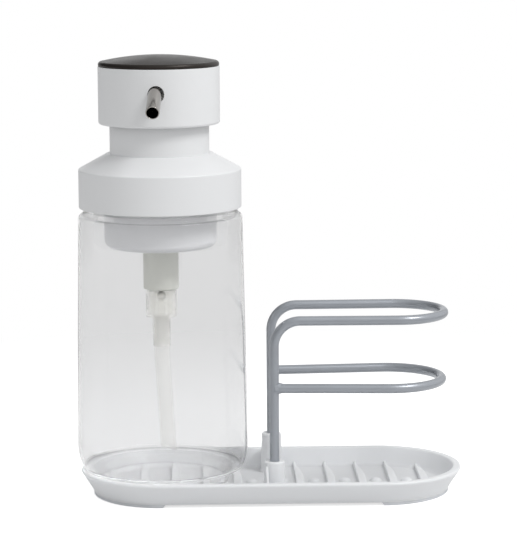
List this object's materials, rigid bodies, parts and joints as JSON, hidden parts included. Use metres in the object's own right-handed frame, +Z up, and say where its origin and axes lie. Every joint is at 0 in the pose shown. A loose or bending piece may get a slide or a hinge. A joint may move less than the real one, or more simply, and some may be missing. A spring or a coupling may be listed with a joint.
{
  "type": "soap pump caddy",
  "caption": "Clear pump bottle and grey wire sponge holder standing in one long white drip tray, with a dark-capped pump head and steel spout.",
  "frame": {"origin": "on the bottle's and pump's vertical axis, at counter level, where it lies on the left foot's flat underside", "axes": "+Z up; +X along the tray from the bottle to the sponge bay; -Y towards the user, the way the spout points"},
  "size_m": [0.1804, 0.0871, 0.2058],
  "materials": {
    "tray_white": "white moulded plastic, satin",
    "foot_grey": "pale grey non-slip rubber",
    "wire_grey": "smooth grey coating over steel wire",
    "bottle_clear": "clear colourless plastic, polished",
    "gasket_grey": "soft flat seal",
    "closure_white": "white moulded plastic",
    "collar_white": "white moulded plastic, satin",
    "bush_ivory": "slippery off-white plastic",
    "cup_translucent": "milky translucent plastic",
    "pump_translucent": "warm translucent plastic",
    "valve_clear": "clear moulded plastic",
    "dip_tube_clear": "clear extruded plastic tube",
    "steel": "stainless steel",
    "cap_charcoal": "soft-touch charcoal, satin"
  },
  "bodies": {
    "tray_base": {"tray": "tray_white", "left_foot": "foot_grey", "right_foot": "foot_grey"},
    "holder_body": {"upper_wire": "wire_grey", "lower_loop": "wire_grey", "weld_beads": "wire_grey"},
    "bottle_body": {"bottle": "bottle_clear"},
    "seal_body": {"neck_gasket": "gasket_grey"},
    "pump_body": {"collar": "collar_white", "thread_ring": "closure_white", "neck_sleeve": "collar_white", "guide_bush": "bush_ivory", "pump_cup": "cup_translucent", "pump_cylinder": "pump_translucent", "cylinder_cap": "bush_ivory", "valve_housing": "valve_clear", "dip_tube": "dip_tube_clear", "pump_spring": "steel"},
    "ball_body": {"inlet_ball": "steel"},
    "stem_body": {"pump_stem": "bush_ivory", "piston": "bush_ivory", "piston_seal": "gasket_grey"},
    "head_body": {"nozzle_core": "closure_white", "spout_tube": "steel", "head_shell": "collar_white", "cap_plate": "closure_white", "cap_pad": "cap_charcoal"}
  },
  "joints": [
    {"name": "holder_lift", "type": "slide", "parent": "tray_base", "child": "holder_body", "axis": [0, 0, 1], "range_m": [0, 0.025]},
    {"name": "bottle_lift", "type": "slide", "parent": "tray_base", "child": "bottle_body", "axis": [0, 0, 1], "range_m": [0, 0.04]},
    {"name": "collar_rise", "type": "slide", "parent": "bottle_body", "child": "seal_body", "axis": [0, 0, 1], "range_m": [0, 0.0081]},
    {"name": "collar_unscrew", "type": "hinge", "parent": "seal_body", "child": "pump_body", "pos_m": [0, 0, 0.143], "axis": [0, 0, 1], "range_deg": [0, 720]},
    {"name": "inlet_ball_lift", "type": "slide", "parent": "pump_body", "child": "ball_body", "axis": [0, 0, 1], "range_m": [0, 0.002]},
    {"name": "pump_press", "type": "slide", "parent": "pump_body", "child": "stem_body", "axis": [0, 0, -1], "range_m": [0, 0.012], "stiffness_N_per_m": 400, "springref_m": -0.006, "deforming": ["pump_spring"]},
    {"name": "spout_swivel", "type": "hinge", "parent": "stem_body", "child": "head_body", "pos_m": [0, 0, 0.19], "axis": [0, 0, 1], "continuous": true}
  ],
  "couplings": [
    {"joint": "collar_rise", "follows": "collar_unscrew", "m_per_rad": 0.00063662}
  ]
}
